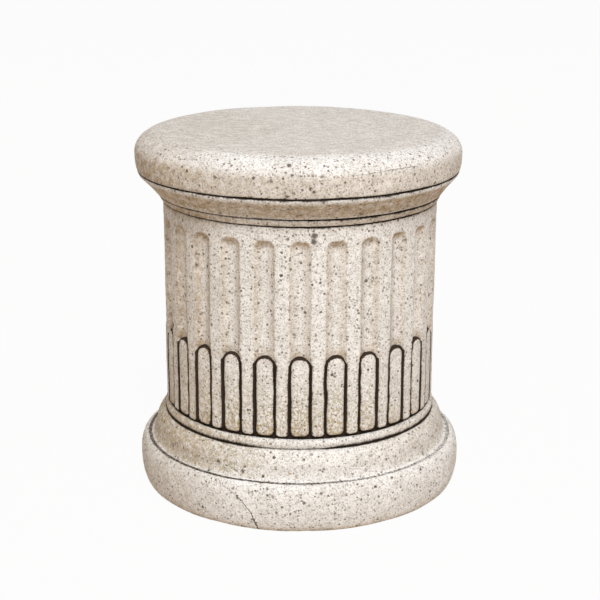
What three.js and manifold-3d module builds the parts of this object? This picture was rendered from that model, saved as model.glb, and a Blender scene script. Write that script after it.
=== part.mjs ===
import * as THREE from 'three';
import { mergeVertices } from 'three/addons/utils/BufferGeometryUtils.js';
import Module from 'manifold-3d';

// Low Doric garden column, cast in one piece: a swelling round foot, a drum with cabled flutes
// and a thick round cap. Millimetres, +Z up, origin at the middle of the underside. A flute
// faces -Y. Points of a profile are pairs of radius and height.

// Drum. The mouldings above and below are set out from its face.
const drumRadius = 154.4;
const drumHeight = 232.4;
const drumFootRounding = 1.8;

// Foot: flat underside, rounded heel and the swelling torus
const heelSetback = 10.5;
const heelRadius = 5.5;
const torusProjection = 32.5;
const torusWidestHeight = 31;
const torusHeight = 54.6;
const torusLipProjection = 22;

// Cove and rounded shoulder above the torus
const coveProjection = 19.4;
const coveHeight = 14.2;
const shoulderProjection = 13.5;
const shoulderHeight = 17;
const shoulderLipProjection = 4.5;

// Round ring that the drum stands on, and the deep groove above it
const ringProjection = 3.3;
const ringRounding = 5.1;
const ringHeight = 10.5;
const drumGrooveHeight = 3;

// Flutes, which stop at a plain neck below the top of the drum
const fluteCount = 25;
const fluteWidth = 24.6;
const fluteDepth = 5.4;
const fluteSlopeWidth = 6.5;
const fluteSlopeDepth = 4.8;
const fluteCornerRadius = 9;
const neckHeight = 14.6;

// Cables, the convex rods that fill the lower part of the flutes
const cableHeight = 88.2;
const cableGap = 2.2;
const cableEdgeWidth = 5;
const cableEdgeDepth = 3;
const cableFootRadius = 6;
const cableLift = 0.4;

// Fillet, cavetto and lip under the cap
const filletProjection = 4.6;
const filletHeight = 8.6;
const cavettoFootProjection = 6.8;
const cavettoTopProjection = 24.8;
const cavettoHeight = 21.2;
const cavettoHollow = 0.8;
const lipProjection = 26.2;
const lipHeight = 4.6;

// Cap: a thick disc with a rolled upper edge and a flat top
const capUnderProjection = 27.3;
const capProjection = 29.2;
const capSideHeight = 18.6;
const capHeight = 43;
const capRollWidth = 35.1;

// Lines scored between the mouldings
const lineWidth = 2.2;
const lineDepth = 2.4;

// Roundness of the mouldings: 2 is an ellipse, more is squarer and less is nearer a bevel
const torusPower = 2.3;
const covePower = 2;
const shoulderPower = 1.5;
const ringPower = 2.4;
const capPower = 2.2;

// Fineness of the facets
const segmentsPerFlute = 2;
const fineSteps = 5;
const middleSteps = 3;
const coarseSteps = 2;

// How far one solid reaches into the next where they are joined
const overlap = 6;

// Least radius left at a corner inside a sloping edge
const leastCorner = 0.3;

// Radii
const torusRadius = drumRadius + torusProjection;
const footFlatRadius = torusRadius - heelSetback;
const torusLipRadius = drumRadius + torusLipProjection;
const coveOuterRadius = drumRadius + coveProjection;
const shoulderRadius = drumRadius + shoulderProjection;
const shoulderLipRadius = drumRadius + shoulderLipProjection;
const ringRadius = drumRadius + ringProjection;
const ringEdgeRadius = ringRadius - ringRounding;
const filletRadius = drumRadius + filletProjection;
const cavettoFootRadius = drumRadius + cavettoFootProjection;
const cavettoTopRadius = drumRadius + cavettoTopProjection;
const lipRadius = drumRadius + lipProjection;
const capUnderRadius = drumRadius + capUnderProjection;
const capRadius = drumRadius + capProjection;
const capFlatRadius = capRadius - capRollWidth;

// Levels, from the underside up
const torusTop = torusHeight;
const shoulderLevel = torusTop + coveHeight;
const shoulderTop = shoulderLevel + shoulderHeight;
const ringTop = shoulderTop + ringHeight;
const drumFoot = ringTop + drumGrooveHeight;
const drumTop = drumFoot + drumHeight;
const filletTop = drumTop + filletHeight;
const cavettoTop = filletTop + cavettoHeight;
const lipTop = cavettoTop + lipHeight;
const capTop = lipTop + capHeight;

// The core runs from the ring into the drum, just behind the floor of the flutes
const coreClearance = 0.3;
const fluteFloor = drumRadius - fluteDepth;
const coreRadius = fluteFloor - coreClearance;

const segments = fluteCount * segmentsPerFlute;
const quarterTurn = Math.PI / 2;

const castStone = new THREE.MeshStandardMaterial({
  color: 0xdbd2c6,
  roughness: 0.92,
  metalness: 0,
});

const wasm = await Module();
wasm.setup();

// A quarter of a superellipse that starts level at the first point and ends upright at the
// second. It bulges towards the second point's radius at the first point's height.
function quarterRound([levelRadius, levelHeight], [uprightRadius, uprightHeight], power, steps) {
  const points = [];
  for (let step = 0; step <= steps; step++) {
    const turn = (step / steps) * quarterTurn;
    points.push([
      levelRadius + (uprightRadius - levelRadius) * Math.sin(turn) ** (2 / power),
      uprightHeight + (levelHeight - uprightHeight) * Math.cos(turn) ** (2 / power),
    ]);
  }
  return points;
}

// A smooth bend between two points that leans towards a corner, without its first point
function bend(start, corner, end, steps) {
  const curve = new THREE.QuadraticBezierCurve(
    new THREE.Vector2(...start),
    new THREE.Vector2(...corner),
    new THREE.Vector2(...end),
  );
  return curve.getPoints(steps).slice(1).map((point) => [point.x, point.y]);
}

// The scored line between a lower and an upper moulding that meet at a level
function scoredLine(lowerRadius, upperRadius, level) {
  return [
    [lowerRadius, level - lineWidth / 2],
    [Math.min(lowerRadius, upperRadius) - lineDepth, level],
    [upperRadius, level + lineWidth / 2],
  ];
}

// Heel and torus: a round heel that leaves the ground, then an easy swell to the widest height
// and a fuller round over the top to the line under the cove
function torusPoints() {
  const heelTurn = quarterTurn * (2 / 3);
  const heel = [];
  for (let step = 0; step <= coarseSteps; step++) {
    const turn = (step / coarseSteps) * heelTurn;
    heel.push([
      footFlatRadius + heelRadius * Math.sin(turn),
      heelRadius * (1 - Math.cos(turn)),
    ]);
  }
  const heelEnd = heel.at(-1);
  const rise = (torusRadius - heelEnd[0]) * Math.tan(heelTurn);
  const corner = [torusRadius, Math.min(heelEnd[1] + rise, torusWidestHeight)];
  const widest = [torusRadius, torusWidestHeight];
  const lip = [torusLipRadius, torusTop];
  return [
    ...heel,
    ...bend(heelEnd, corner, widest, middleSteps),
    ...quarterRound(lip, widest, torusPower, fineSteps).reverse().slice(1),
  ];
}

// The line behind the torus, the cove that rises from it, the shoulder and the ring
function coveAndRingPoints() {
  const line = [(torusLipRadius + coveOuterRadius) / 2, torusTop - lineDepth];
  const coveStart = [coveOuterRadius, torusTop];
  const coveEnd = [shoulderRadius, shoulderLevel];
  const shoulderLip = [shoulderLipRadius, shoulderTop - lineWidth / 2];
  const ringWidest = [ringRadius, shoulderTop + ringHeight / 2];
  const ringEdge = [ringEdgeRadius, ringTop];
  const shoulderLine = scoredLine(shoulderLipRadius, ringRadius, shoulderTop);
  return [
    line,
    ...quarterRound(coveStart, coveEnd, covePower, middleSteps),
    ...quarterRound(shoulderLip, coveEnd, shoulderPower, middleSteps).reverse().slice(1),
    ...shoulderLine.slice(1),
    ...quarterRound(ringEdge, ringWidest, ringPower, middleSteps).reverse(),
  ];
}

// Foot profile, from the underside to the core that stands inside the drum
function footProfile() {
  return [
    [0, 0],
    ...torusPoints(),
    ...coveAndRingPoints(),
    [coreRadius, ringTop],
    [coreRadius, drumFoot + overlap],
    [0, drumFoot + overlap],
  ];
}

// Drum and cap profile, from the foot of the drum to the flat top
function drumAndCapProfile() {
  const footEdge = [drumRadius - drumFootRounding, drumFoot];
  const footSide = [drumRadius, drumFoot + drumFootRounding];
  const cavettoStart = [cavettoFootRadius, filletTop + lineWidth / 2];
  const cavettoEnd = [cavettoTopRadius, cavettoTop];
  const cavettoMiddle = [
    (cavettoStart[0] + cavettoEnd[0]) / 2 - cavettoHollow,
    (cavettoStart[1] + cavettoEnd[1]) / 2 + cavettoHollow,
  ];
  const capUnder = [capUnderRadius, lipTop + lineWidth / 2];
  const capSide = [capRadius, lipTop + capSideHeight];
  const capCorner = [capRadius, lipTop + capSideHeight / 3];
  const capFlat = [capFlatRadius, capTop];
  return [
    [0, drumFoot],
    ...quarterRound(footEdge, footSide, 2, coarseSteps),
    ...scoredLine(drumRadius, filletRadius, drumTop),
    ...scoredLine(filletRadius, cavettoFootRadius, filletTop),
    ...bend(cavettoStart, cavettoMiddle, cavettoEnd, coarseSteps),
    ...scoredLine(lipRadius, capUnderRadius, lipTop),
    ...bend(capUnder, capCorner, capSide, coarseSteps),
    ...quarterRound(capFlat, capSide, capPower, fineSteps).reverse().slice(1),
    [0, capTop],
  ];
}

// Turns a profile about the upright axis. A facet edge runs up the middle of each flute and rib.
function turned(profile) {
  const points = profile.map(([radius, height]) => new THREE.Vector2(radius, height));
  const geometry = new THREE.LatheGeometry(points, segments);
  return geometry.rotateX(quarterTurn);
}

// A quarter circle anticlockwise about a centre, starting a number of quarter turns from +X
function quarterArc(x, y, radius, startQuarter, steps) {
  const points = [];
  for (let step = 0; step <= steps; step++) {
    const turn = (startQuarter + step / steps) * quarterTurn;
    points.push(new THREE.Vector2(x + radius * Math.cos(turn), y + radius * Math.sin(turn)));
  }
  return points;
}

// Outline of a flute or a cable seen from outside, with its own rounding below and above. Each
// end gives its level, its corner radius and the steps of a corner.
function uprightOutline(width, [bottom, footRadius, footSteps], [top, headRadius, headSteps]) {
  const half = width / 2;
  const foot = Math.min(footRadius, half);
  const head = Math.min(headRadius, half);
  return new THREE.Shape([
    ...quarterArc(half - foot, bottom + foot, foot, 3, footSteps),
    ...quarterArc(half - head, top - head, head, 0, headSteps),
    ...quarterArc(head - half, top - head, head, 1, headSteps),
    ...quarterArc(foot - half, bottom + foot, foot, 2, footSteps),
  ]);
}

// An outline pushed out along -Y between two distances from the axis, with rounded edges
function pushedOut(outline, from, to, edgeWidth, edgeDepth) {
  const geometry = new THREE.ExtrudeGeometry(outline, {
    depth: to - from - 2 * edgeDepth,
    bevelEnabled: true,
    bevelThickness: edgeDepth,
    bevelSize: edgeWidth,
    bevelOffset: -edgeWidth,
    bevelSegments: coarseSteps,
  });
  return geometry.translate(0, 0, from + edgeDepth).rotateX(quarterTurn);
}

// The space of one flute. It runs out below the drum, so the groove there stays open.
function fluteSpace() {
  const slopeWidth = Math.min(fluteSlopeWidth, fluteWidth / 2 - leastCorner);
  const corner = Math.max(fluteCornerRadius, slopeWidth + leastCorner);
  const outline = uprightOutline(
    fluteWidth,
    [drumFoot - corner - overlap, corner, 1],
    [drumTop - neckHeight, corner, coarseSteps],
  );
  const outer = drumRadius + 2 * fluteSlopeDepth;
  return pushedOut(outline, fluteFloor, outer, slopeWidth, fluteSlopeDepth);
}

// One cable, level with the face of the drum and rooted in the core
function cableBody() {
  const width = fluteWidth - 2 * cableGap;
  const edgeWidth = Math.min(cableEdgeWidth, width / 2 - leastCorner);
  const foot = Math.max(cableFootRadius, edgeWidth + leastCorner);
  const outline = uprightOutline(
    width,
    [drumFoot + cableLift, foot, coarseSteps],
    [drumFoot + cableHeight, width / 2, middleSteps],
  );
  const root = coreRadius - overlap - cableEdgeDepth;
  return pushedOut(outline, root, drumRadius, edgeWidth, cableEdgeDepth);
}

// A closed geometry as a solid that can be cut and joined
function solidOf(geometry) {
  const shell = geometry.clone();
  shell.deleteAttribute('normal');
  shell.deleteAttribute('uv');
  const merged = mergeVertices(shell, 1e-3);
  const mesh = new wasm.Mesh({
    numProp: 3,
    vertProperties: merged.attributes.position.array,
    triVerts: Uint32Array.from(merged.index.array),
  });
  return new wasm.Manifold(mesh);
}

// A solid as a geometry with flat facets
function geometryOf(solid) {
  const mesh = solid.getMesh();
  const geometry = new THREE.BufferGeometry();
  geometry.setAttribute('position', new THREE.BufferAttribute(mesh.vertProperties, 3));
  geometry.setIndex(new THREE.BufferAttribute(mesh.triVerts, 1));
  return geometry;
}

// Copies of a solid set around the axis, one for each flute
function aroundDrum(solid) {
  const copies = [];
  for (let flute = 0; flute < fluteCount; flute++) {
    copies.push(solid.rotate([0, 0, (flute / fluteCount) * 360]));
  }
  return wasm.Manifold.union(copies);
}

// The whole casting
function column() {
  const flutes = aroundDrum(solidOf(fluteSpace()));
  const cables = aroundDrum(solidOf(cableBody()));
  const shaft = solidOf(turned(drumAndCapProfile())).subtract(flutes).add(cables);
  const casting = solidOf(turned(footProfile())).add(shaft);
  const mesh = new THREE.Mesh(geometryOf(casting), castStone);
  mesh.name = 'column';
  return mesh;
}

const doricColumn = new THREE.Group();
doricColumn.add(column());

export default doricColumn;
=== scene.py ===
"""A weathered Doric garden column, cast in stone in one piece, and the studio it stands in."""

import math

import bpy
import numpy as np
from bpy.props import FloatProperty, FloatVectorProperty, IntProperty, PointerProperty
from bpy.types import Operator, Panel, PropertyGroup
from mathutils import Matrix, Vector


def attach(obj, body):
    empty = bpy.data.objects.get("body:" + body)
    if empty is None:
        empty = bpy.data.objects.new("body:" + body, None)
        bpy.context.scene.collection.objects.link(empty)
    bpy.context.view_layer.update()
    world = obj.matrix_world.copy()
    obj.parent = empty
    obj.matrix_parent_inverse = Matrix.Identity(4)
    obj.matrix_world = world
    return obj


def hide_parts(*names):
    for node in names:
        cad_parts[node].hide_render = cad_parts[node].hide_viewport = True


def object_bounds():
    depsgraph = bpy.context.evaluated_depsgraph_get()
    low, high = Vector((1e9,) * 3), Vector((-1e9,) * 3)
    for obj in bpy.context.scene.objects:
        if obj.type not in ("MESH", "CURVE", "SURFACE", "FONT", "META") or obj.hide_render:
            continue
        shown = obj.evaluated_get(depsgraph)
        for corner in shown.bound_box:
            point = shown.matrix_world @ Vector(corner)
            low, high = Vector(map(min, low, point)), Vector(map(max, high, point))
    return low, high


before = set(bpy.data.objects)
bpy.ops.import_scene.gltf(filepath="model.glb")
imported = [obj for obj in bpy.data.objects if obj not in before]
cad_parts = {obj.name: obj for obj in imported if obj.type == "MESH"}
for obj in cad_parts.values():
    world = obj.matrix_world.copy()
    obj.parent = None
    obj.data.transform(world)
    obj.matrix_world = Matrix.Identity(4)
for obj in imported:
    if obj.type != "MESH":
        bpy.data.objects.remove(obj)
CAD_LOW, CAD_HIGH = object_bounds()

bl_info = {
    "name": "Doric garden column",
    "version": (1, 0, 0),
    "blender": (4, 5, 0),
    "location": "3D View > Sidebar > Column",
    "description": "Builds a weathered cast-stone column and the studio it stands in",
    "category": "Add Mesh",
}

MM = 0.001

FULL_TURN = 2 * math.pi


def linear(hex_colour):
    """The linear red, green and blue of an sRGB hex colour."""
    channels = [int(hex_colour[i : i + 2], 16) / 255 for i in (1, 3, 5)]
    return tuple(c / 12.92 if c <= 0.04045 else ((c + 0.055) / 1.055) ** 2.4 for c in channels)


def size(name, description, millimetres):
    """A length that the panel shows, given here in millimetres."""
    return FloatProperty(
        name=name, description=description, default=millimetres * MM, min=0.0, unit="LENGTH", precision=4
    )


def number(name, description, value):
    """A plain number that the panel shows."""
    return FloatProperty(name=name, description=description, default=value, min=0.0)


def angle(name, description, degrees):
    """An angle that the panel shows, given here in degrees."""
    return FloatProperty(
        name=name, description=description, default=math.radians(degrees), subtype="ANGLE"
    )


def colour(name, description, hex_colour):
    """A colour that the panel shows, given here as sRGB hex."""
    return FloatVectorProperty(
        name=name, description=description, default=linear(hex_colour), min=0.0, max=1.0, subtype="COLOR"
    )


class ColumnSizes(PropertyGroup):
    """Sizes of the casting. The mouldings are set out from the face of the drum."""

    drum_radius: size("Drum radius", "Radius of the face between the flutes", 153.9)
    drum_height: size("Drum height", "From the groove over the ring to the line under the fillet", 232.4)

    heel_setback: size("Heel setback", "How far the flat underside stays behind the torus", 10.4)
    heel_radius: size("Heel radius", "Rounding where the torus leaves the ground", 5.5)
    torus_projection: size("Torus projection", "How far the torus stands out from the drum", 31.4)
    torus_widest: size("Torus widest height", "Height at which the torus is widest", 31)
    torus_height: size("Torus height", "From the ground to the line over the torus", 54.6)
    torus_lip: size("Torus lip projection", "Edge of the torus at the line over it", 22)

    cove_projection: size("Cove projection", "Outer edge of the cove over the torus", 19.0)
    cove_height: size("Cove height", "Height of the cove", 14.2)
    shoulder_projection: size("Shoulder projection", "How far the shoulder stands out", 12.5)
    shoulder_height: size("Shoulder height", "Height of the rounded shoulder", 17)
    shoulder_lip: size("Shoulder lip projection", "Inner edge of the shoulder at the line", 3.6)

    ring_projection: size("Ring projection", "How far the ring stands out", 1.8)
    ring_rounding: size("Ring rounding", "How far the top of the ring draws in", 5.1)
    ring_height: size("Ring height", "Height of the ring the drum stands on", 10.5)
    drum_groove: size("Drum groove", "Height of the groove between the ring and the drum", 3)

    flute_width: size("Flute width", "Width of a flute at the face of the drum", 24.6)
    flute_depth: size("Flute depth", "Depth of a flute", 5.4)
    flute_slope: size("Flute slope", "How far an open flute slopes in from its edge", 12)
    flute_edge: size("Flute edge", "Rounding along the edge of an open flute", 1)
    cabled_slope: size("Cabled slope", "Width of a wall of the flute beside a cable", 1.7)
    flute_corner: size("Flute corner", "Radius of the corners at the head of a flute", 9)
    neck_height: size("Neck height", "Plain band over the flutes", 14.6)

    cable_height: size("Cable height", "Height of the cables", 88.2)
    cable_gap: size("Cable gap", "Gap between a cable and the edge of its flute", 2.2)
    cable_edge: size("Cable edge", "Width of the rounding along a cable", 4.5)
    cable_fall: size("Cable fall", "Depth of the rounding along a cable", 2.4)
    cable_head: size("Cable head", "Radius of the corners at the head of a cable", 9.6)
    cable_foot: size("Cable foot", "Radius of the corners at the foot of a cable", 6)
    rib_foot: size("Rib foot", "Radius of the corners at the foot of a rib", 3.5)

    fillet_projection: size("Fillet projection", "How far the upper edge of the fillet stands out", 5.2)
    fillet_foot: size("Fillet foot projection", "How far its lower edge stands out", 1.9)
    fillet_height: size("Fillet height", "Height of the fillet", 8.6)
    cavetto_foot: size("Cavetto foot projection", "Lower edge of the cavetto", 7.0)
    cavetto_top: size("Cavetto top projection", "Upper edge of the cavetto", 24.8)
    cavetto_height: size("Cavetto height", "Height of the cavetto", 21.2)
    cavetto_hollow: size("Cavetto hollow", "How far the cavetto curves in", 0.8)
    lip_projection: size("Lip projection", "How far the lip over the cavetto stands out", 26.2)
    lip_height: size("Lip height", "Height of the lip", 4.6)

    cap_under: size("Cap under projection", "Lower edge of the cap", 26.8)
    cap_projection: size("Cap projection", "How far the cap stands out", 28.6)
    cap_side: size("Cap side height", "From the line under the cap to its widest height", 18.6)
    cap_height: size("Cap height", "Height of the cap", 42.7)
    cap_roll: size("Cap roll width", "Width of the rolled upper edge", 35.1)
    cap_settling: size("Cap settling", "How far the right of the cap has settled", 1.3)
    settling_start: size("Settling start", "How far to the left of the axis the settling starts", 50)

    line_width: size("Line width", "Width of the scored lines", 2.4)
    line_depth: size("Line depth", "Depth of the scored lines", 2.4)
    torus_line_depth: size("Torus line depth", "Depth of the line on the torus", 1.1)

    flute_count: IntProperty(name="Flutes", description="Flutes round the drum", default=25, min=3)
    carving_turn: angle("Carving turn", "How far the flutes are turned round the axis", 0.3)


class ColumnWear(PropertyGroup):
    """Unevenness, chips and the dark deposit on the casting."""

    broad_wave: size("Broad wave", "Length of the broad unevenness of the faces", 75)
    broad_height: size("Broad height", "Height of the broad unevenness", 0.22)
    small_wave: size("Small wave", "Length of the small unevenness of the faces", 11)
    small_height: size("Small height", "Height of the small unevenness", 0.1)
    wobble_wave: size("Wobble wave", "Length of the wander of the grooves", 28)
    wobble: size("Wobble", "How far the grooves wander", 0.22)
    deposit: size("Deposit reach", "How far the dark deposit reaches from the bottom of a scored line", 2.7)
    groove_deposit: size("Groove deposit", "How far it reaches past the groove round a cable", 1.6)
    head_deposit: size("Head deposit", "How far it reaches over the head of a cable", 3.0)
    deposit_wave: size("Deposit wave", "Length of the unevenness of the deposit's edge", 14)


class ColumnColours(PropertyGroup):
    """Colours of the cast stone, of what lies on it and of the painted shade."""

    stone: colour("Stone", "Face of the cast stone", "#F6F5F3")
    shade: colour("Darker stone", "Darker patches of the stone", "#D4D0CA")
    grain: colour("Grain", "Grains of sand in the face", "#9F968B")
    speck: colour("Speck", "Small brown specks", "#75685C")
    pit: colour("Pit", "Pits and chips that hold dirt", "#51463B")
    # Also the colour of the painted shade in the hollows, on the flute walls, under the lip, on the cap's
    # side and on the left side
    stain_and_shade: colour("Stain", "Brown stain in the hollows", "#BEA580")
    growth: colour("Growth", "Thin olive growth", "#A18C52")
    patina: colour("Patina", "Dark deposit in the lines and grooves", "#33281F")


class StudioSettings(PropertyGroup):
    """Floor, lights and camera."""

    floor: colour("Floor", "Plain pale floor", "#FAFAFA")
    floor_reach: size("Floor reach", "Radius of the flat floor", 11000)
    wall_height: size("Wall height", "Height of the backdrop", 6000)
    sky_light: colour("Light from above", "Colour of the soft light from all round and above", "#FFF6EE")
    sky_strength: number("Strength from above", "Strength of that light", 0.34)
    floor_light: colour("Light from below", "Colour of the light that the pale floor sends back", "#FFEDDA")
    floor_strength: number("Strength from below", "Strength of that light", 0.71)
    key_power: number("Key power", "Power of the key light in watts", 598)
    key_width: size("Key width", "Width of the square key light", 3400)
    key_place: FloatVectorProperty(
        name="Key place",
        description="Where the key light hangs",
        default=(0.85, -5.4, 6.4),
        subtype="TRANSLATION",
        unit="LENGTH",
    )
    lens: FloatProperty(name="Lens", description="Focal length in millimetres", default=91.38, unit="CAMERA")
    camera_back: size("Camera distance", "From the axis of the column to the camera", 1682.97)
    camera_height: size("Camera height", "From the floor to the camera", 701.14)
    camera_tilt: angle("Camera tilt", "How far the camera looks down", 16.319)
    shift_right: number("Shift right", "How far the frame is shifted, as a share of its width", 0.00011)
    shift_up: number("Shift up", "How far the frame is shifted up, as a share of its width", 0.00016)


class Levels:
    """Heights and radii that follow from the sizes, from the underside up."""

    def __init__(self, s):
        self.torus_top = s.torus_height
        self.shoulder = self.torus_top + s.cove_height
        self.shoulder_top = self.shoulder + s.shoulder_height
        self.ring_top = self.shoulder_top + s.ring_height
        self.drum_foot = self.ring_top + s.drum_groove
        self.drum_top = self.drum_foot + s.drum_height
        self.fillet_top = self.drum_top + s.fillet_height
        self.cavetto_top = self.fillet_top + s.cavetto_height
        self.lip_top = self.cavetto_top + s.lip_height
        self.cap_top = self.lip_top + s.cap_height
        self.flute_top = self.drum_top - s.neck_height
        self.cable_top = self.drum_foot + s.cable_height
        self.torus_radius = s.drum_radius + s.torus_projection
        self.cap_radius = s.drum_radius + s.cap_projection
        self.floor_radius = s.drum_radius - s.flute_depth


# Profiles: rows of radius and height

# How full each rounded moulding is: 2 is a quarter of an ellipse, more is squarer and less is flatter
ELLIPSE = 2
TORUS_FULLNESS = 2.3
SHOULDER_FULLNESS = 1.5
RING_FULLNESS = 2.4
CAP_FULLNESS = 2.2

# How far round the heel is turned under the torus
HEEL_ARC = math.pi / 3

# How far the lower edge of the ring stays behind its face
RING_UNDERCUT = 0.8 * MM

# Rows of a profile closer together than this are joined
LEAST_STEP = 0.02 * MM


def quarter_round(level_point, upright_point, fullness, steps):
    """A quarter of a superellipse, level at the first point and upright at the second: the radius goes with
    the sine of the turn to the power 2 over its fullness, and the height with its cosine."""
    turn = np.linspace(0, math.pi / 2, steps + 1)
    (level_radius, level_height), (upright_radius, upright_height) = level_point, upright_point
    radius = level_radius + (upright_radius - level_radius) * np.sin(turn) ** (2 / fullness)
    height = upright_height + (level_height - upright_height) * np.cos(turn) ** (2 / fullness)
    return np.stack([radius, height], axis=1)


def bend(start, corner, end, steps):
    """A smooth bend that leans towards a corner: start, corner and end weighed by (1-t)^2, 2t(1-t)
    and t^2."""
    t = np.linspace(0, 1, steps + 1)[:, None]
    return (1 - t) ** 2 * np.array(start) + 2 * t * (1 - t) * np.array(corner) + t**2 * np.array(end)


def straight(start, end, steps):
    """Points evenly spaced from start to end."""
    t = np.linspace(0, 1, steps + 1)[:, None]
    return (1 - t) * np.array(start) + t * np.array(end)


def scored_line(lower, upper, level, s):
    """A V-shaped line: in from the lower lip to a bottom behind the smaller radius, and out to the upper
    lip. The way in and out goes with the distance from the middle to the power 0.8, which rounds the lips."""
    t = np.linspace(-1, 1, 7)
    lip = np.where(t < 0, lower, upper)
    bottom = min(lower, upper) - s.line_depth
    radius = bottom + (lip - bottom) * np.abs(t) ** 0.8
    return np.stack([radius, level + t * s.line_width / 2], axis=1)


def joined(*runs):
    """Runs of rows end to end, without rows that repeat the one before."""
    rows = np.concatenate(runs)
    kept = np.ones(len(rows), bool)
    kept[1:] = np.hypot(*np.diff(rows, axis=0).T) > LEAST_STEP
    return rows[kept]


def foot_rows(s, levels):
    """Underside, heel, torus, cove, shoulder and ring, up to the groove under the drum."""
    drum = s.drum_radius
    flat = levels.torus_radius - s.heel_setback
    heel_turn = np.linspace(0, HEEL_ARC, 6)
    heel_out = s.heel_radius * np.sin(heel_turn)
    heel_up = s.heel_radius * (1 - np.cos(heel_turn))
    heel = np.stack([flat + heel_out, heel_up], axis=1)
    widest = (levels.torus_radius, s.torus_widest)
    rise = (levels.torus_radius - heel[-1, 0]) * math.tan(HEEL_ARC)
    corner = (levels.torus_radius, min(heel[-1, 1] + rise, s.torus_widest))
    lip = (drum + s.torus_lip, levels.torus_top)
    cove_start = (drum + s.cove_projection, levels.torus_top)
    cove_end = (drum + s.shoulder_projection, levels.shoulder)
    half_line = s.line_width / 2
    shoulder_lip = (drum + s.shoulder_lip, levels.shoulder_top - half_line)
    ring = drum + s.ring_projection
    ring_widest = (ring, levels.shoulder_top + s.ring_height / 2)
    ring_edge = (ring - s.ring_rounding, levels.ring_top)
    line_bottom = ((lip[0] + cove_start[0]) / 2, levels.torus_top - s.torus_line_depth)
    return joined(
        straight((0, 0), (flat, 0), 3)[1:],
        heel,
        bend(heel[-1], corner, widest, 7),
        quarter_round(lip, widest, TORUS_FULLNESS, 12)[::-1],
        straight(lip, line_bottom, 3),
        straight(line_bottom, cove_start, 3),
        quarter_round(cove_start, cove_end, ELLIPSE, 8),
        quarter_round(shoulder_lip, cove_end, SHOULDER_FULLNESS, 8)[::-1],
        scored_line(drum + s.shoulder_lip, ring - RING_UNDERCUT, levels.shoulder_top, s),
        quarter_round(ring_edge, ring_widest, RING_FULLNESS, 6)[::-1],
        straight(ring_edge, (levels.floor_radius, levels.ring_top), 2),
    )


def drum_rows(s, levels):
    """The drum, from the groove at its foot to the bottom of the line over it, with closer rows where the
    cables and the flutes begin and end."""
    drum, foot = s.drum_radius, levels.drum_foot
    edge_depth, edge_height = 1.8 * MM, 2.5 * MM
    feet_end = foot + 7 * MM
    heads_start, heads_end = levels.cable_top - 15 * MM, levels.cable_top + 4.5 * MM
    arches_start, arches_end = levels.flute_top - 14 * MM, levels.flute_top + 2 * MM
    stretches = (
        (foot + edge_height, feet_end, 3),
        (feet_end, heads_start, 12),
        (heads_start, heads_end, 19),
        (heads_end, arches_start, 18),
        (arches_start, arches_end, 13),
        (arches_end, levels.drum_top - s.line_width / 2, 4),
    )
    groove = straight((levels.floor_radius, foot - 0.8 * MM), (levels.floor_radius, foot - 0.1 * MM), 1)
    edge = quarter_round((drum - edge_depth, foot), (drum, foot + edge_height), ELLIPSE, 4)
    sides = [straight((drum, low), (drum, high), count) for low, high, count in stretches]
    line = scored_line(drum, drum + s.fillet_foot, levels.drum_top, s)[:4]
    return joined(groove, edge, *sides, line)


def crown_rows(s, levels):
    """Fillet, cavetto, lip and cap, to the last ring before the middle of the top."""
    drum, half_line = s.drum_radius, s.line_width / 2
    fillet, fillet_foot = drum + s.fillet_projection, drum + s.fillet_foot
    cavetto_start = np.array((drum + s.cavetto_foot, levels.fillet_top + half_line))
    cavetto_end = np.array((drum + s.cavetto_top, levels.cavetto_top))
    hollow = (cavetto_start + cavetto_end) / 2 + (-s.cavetto_hollow, s.cavetto_hollow)
    lip = drum + s.lip_projection
    cap_under = (drum + s.cap_under, levels.lip_top + half_line)
    side = (levels.cap_radius, levels.lip_top + s.cap_side)
    corner = (levels.cap_radius, levels.lip_top + s.cap_side / 3)
    flat = (levels.cap_radius - s.cap_roll, levels.cap_top)
    return joined(
        scored_line(drum, fillet_foot, levels.drum_top, s)[4:],
        straight((fillet_foot, levels.drum_top + half_line), (fillet, levels.fillet_top - half_line), 3),
        scored_line(fillet, cavetto_start[0], levels.fillet_top, s),
        bend(cavetto_start, hollow, cavetto_end, 6),
        straight(cavetto_end, (lip, levels.lip_top - half_line), 2),
        scored_line(lip, cap_under[0], levels.lip_top, s),
        bend(cap_under, corner, side, 6),
        quarter_round(flat, side, CAP_FULLNESS, 16)[::-1],
        straight(flat, (0, levels.cap_top), 9)[:-1],
    )


# Surfaces worked out on grids


def columns(s):
    """Angles round the axis. Each flute has close columns along its walls and wider ones in its middle and
    on the rib: the columns are spread evenly over each stretch between breaks."""
    pitch = FULL_TURN / s.flute_count
    outside_wall, inside_wall = 0.6 * MM, 3.9 * MM
    outer = (s.flute_width / 2 + outside_wall) / s.drum_radius
    inner = (s.flute_width / 2 - inside_wall) / s.drum_radius
    breaks = (-outer, -inner, inner, outer, pitch - outer)
    counts = (7, 11, 7, 8)
    once = np.interp(np.arange(sum(counts)), np.cumsum((0, *counts)), breaks)
    starts = np.arange(s.flute_count)[:, None] * pitch
    return (starts + once[None, :]).ravel()


def waves(points, length, seed, count=14):
    """Smooth unevenness with a spread of 1: sine waves of one length that run in random directions with
    random phases, added up and divided by the root of half their number."""
    random = np.random.default_rng(seed)
    way = random.normal(size=(count, 3))
    way *= FULL_TURN / length / np.linalg.norm(way, axis=1, keepdims=True)
    phase = random.uniform(0, FULL_TURN, count)
    return np.sin(points @ way.T + phase).sum(axis=-1) / math.sqrt(count / 2)


def ease(x):
    """0 below 0, 1 above 1 and 3x^2 - 2x^3 in between."""
    x = np.clip(x, 0, 1)
    return x * x * (3 - 2 * x)


def rising(value, start, full):
    """0 up to start, 1 from full on and eased in between. Where full is the lesser, it falls instead."""
    return ease((value - start) / (full - start))


def rounded_edge(inside, width, depth):
    """How far a face has sunk at a distance inside its edge: a quarter ellipse, the full depth at the edge
    and nothing from width inwards."""
    x = np.clip(1 - inside / width, 0, 1)
    return depth * (1 - np.sqrt(1 - x * x))


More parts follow.
